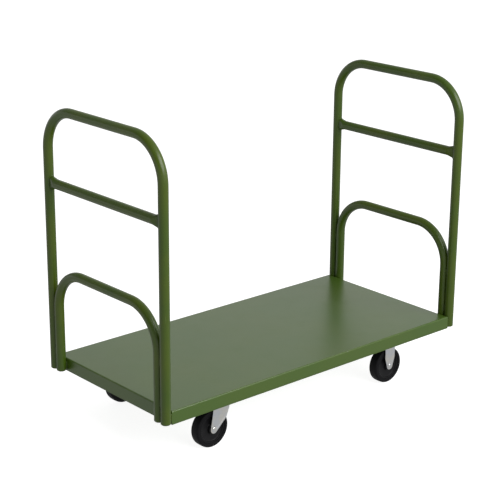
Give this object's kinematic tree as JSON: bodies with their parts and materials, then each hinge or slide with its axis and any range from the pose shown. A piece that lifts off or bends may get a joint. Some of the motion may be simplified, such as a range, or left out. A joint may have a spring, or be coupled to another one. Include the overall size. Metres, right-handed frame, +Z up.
{
  "type": "platform cart",
  "caption": "Low platform cart with a flat skirted steel deck, a rigid tube handle with crossbar and guard hoop at each end, two trailing swivel casters and two fixed casters.",
  "frame": {"origin": "on the floor under the middle of the deck", "axes": "+X towards the fixed casters (front), +Y to the left, +Z up"},
  "size_m": [1.3144, 0.617, 1.054],
  "materials": {
    "deck_enamel": "gloss green enamel on folded sheet steel, scuffed on the load face",
    "green_enamel": "gloss green enamel on tube and folded sheet",
    "zinc_plate": "zinc-plated pressed steel, satin",
    "bright_zinc": "bright zinc-plated fasteners",
    "bearing_steel": "ground bearing steel with a film of grease",
    "black_nylon": "moulded black nylon",
    "black_rubber": "smooth black rubber"
  },
  "bodies": {
    "chassis": {"deck_plate": "deck_enamel", "rear_caster_channel": "green_enamel", "front_caster_channel": "green_enamel", "centre_rib": "green_enamel", "rear_handle_tube": "green_enamel", "rear_crossbar": "green_enamel", "rear_guard_hoop": "green_enamel", "rear_tube_plugs": "black_nylon", "front_handle_tube": "green_enamel", "front_crossbar": "green_enamel", "front_guard_hoop": "green_enamel", "front_tube_plugs": "black_nylon", "caster_bolts": "bright_zinc", "caster_washers": "bright_zinc", "caster_nuts": "bright_zinc", "rear_left_top_plate": "zinc_plate", "rear_left_kingpin": "bright_zinc", "rear_left_kingpin_nut": "bright_zinc", "rear_right_top_plate": "zinc_plate", "rear_right_kingpin": "bright_zinc", "rear_right_kingpin_nut": "bright_zinc", "front_left_fork": "zinc_plate", "front_left_axle_bolt": "bright_zinc", "front_left_axle_nut": "bright_zinc", "front_left_axle_sleeve": "bearing_steel", "front_right_fork": "zinc_plate", "front_right_axle_bolt": "bright_zinc", "front_right_axle_nut": "bright_zinc", "front_right_axle_sleeve": "bearing_steel"},
    "rear_left_swivel": {"rear_left_swivel_balls": "bearing_steel", "rear_left_fork": "zinc_plate", "rear_left_axle_bolt": "bright_zinc", "rear_left_axle_nut": "bright_zinc", "rear_left_axle_sleeve": "bearing_steel"},
    "rear_left_wheel": {"rear_left_rim": "black_nylon", "rear_left_tyre": "black_rubber", "rear_left_rollers": "bearing_steel"},
    "rear_right_swivel": {"rear_right_swivel_balls": "bearing_steel", "rear_right_fork": "zinc_plate", "rear_right_axle_bolt": "bright_zinc", "rear_right_axle_nut": "bright_zinc", "rear_right_axle_sleeve": "bearing_steel"},
    "rear_right_wheel": {"rear_right_rim": "black_nylon", "rear_right_tyre": "black_rubber", "rear_right_rollers": "bearing_steel"},
    "front_left_wheel": {"front_left_rim": "black_nylon", "front_left_tyre": "black_rubber", "front_left_rollers": "bearing_steel"},
    "front_right_wheel": {"front_right_rim": "black_nylon", "front_right_tyre": "black_rubber", "front_right_rollers": "bearing_steel"}
  },
  "joints": [
    {"name": "rear_left_swivel_turn", "type": "hinge", "parent": "chassis", "child": "rear_left_swivel", "pos_m": [-0.384, 0.2295, 0.14], "axis": [0, 0, 1], "continuous": true},
    {"name": "rear_left_wheel_spin", "type": "hinge", "parent": "rear_left_swivel", "child": "rear_left_wheel", "pos_m": [-0.418, 0.2295, 0.0635], "axis": [0, 1, 0], "continuous": true},
    {"name": "rear_right_swivel_turn", "type": "hinge", "parent": "chassis", "child": "rear_right_swivel", "pos_m": [-0.384, -0.2295, 0.14], "axis": [0, 0, 1], "continuous": true},
    {"name": "rear_right_wheel_spin", "type": "hinge", "parent": "rear_right_swivel", "child": "rear_right_wheel", "pos_m": [-0.418, -0.2295, 0.0635], "axis": [0, 1, 0], "continuous": true},
    {"name": "front_left_wheel_spin", "type": "hinge", "parent": "chassis", "child": "front_left_wheel", "pos_m": [0.384, 0.2295, 0.0635], "axis": [0, 1, 0], "continuous": true},
    {"name": "front_right_wheel_spin", "type": "hinge", "parent": "chassis", "child": "front_right_wheel", "pos_m": [0.384, -0.2295, 0.0635], "axis": [0, 1, 0], "continuous": true}
  ]
}
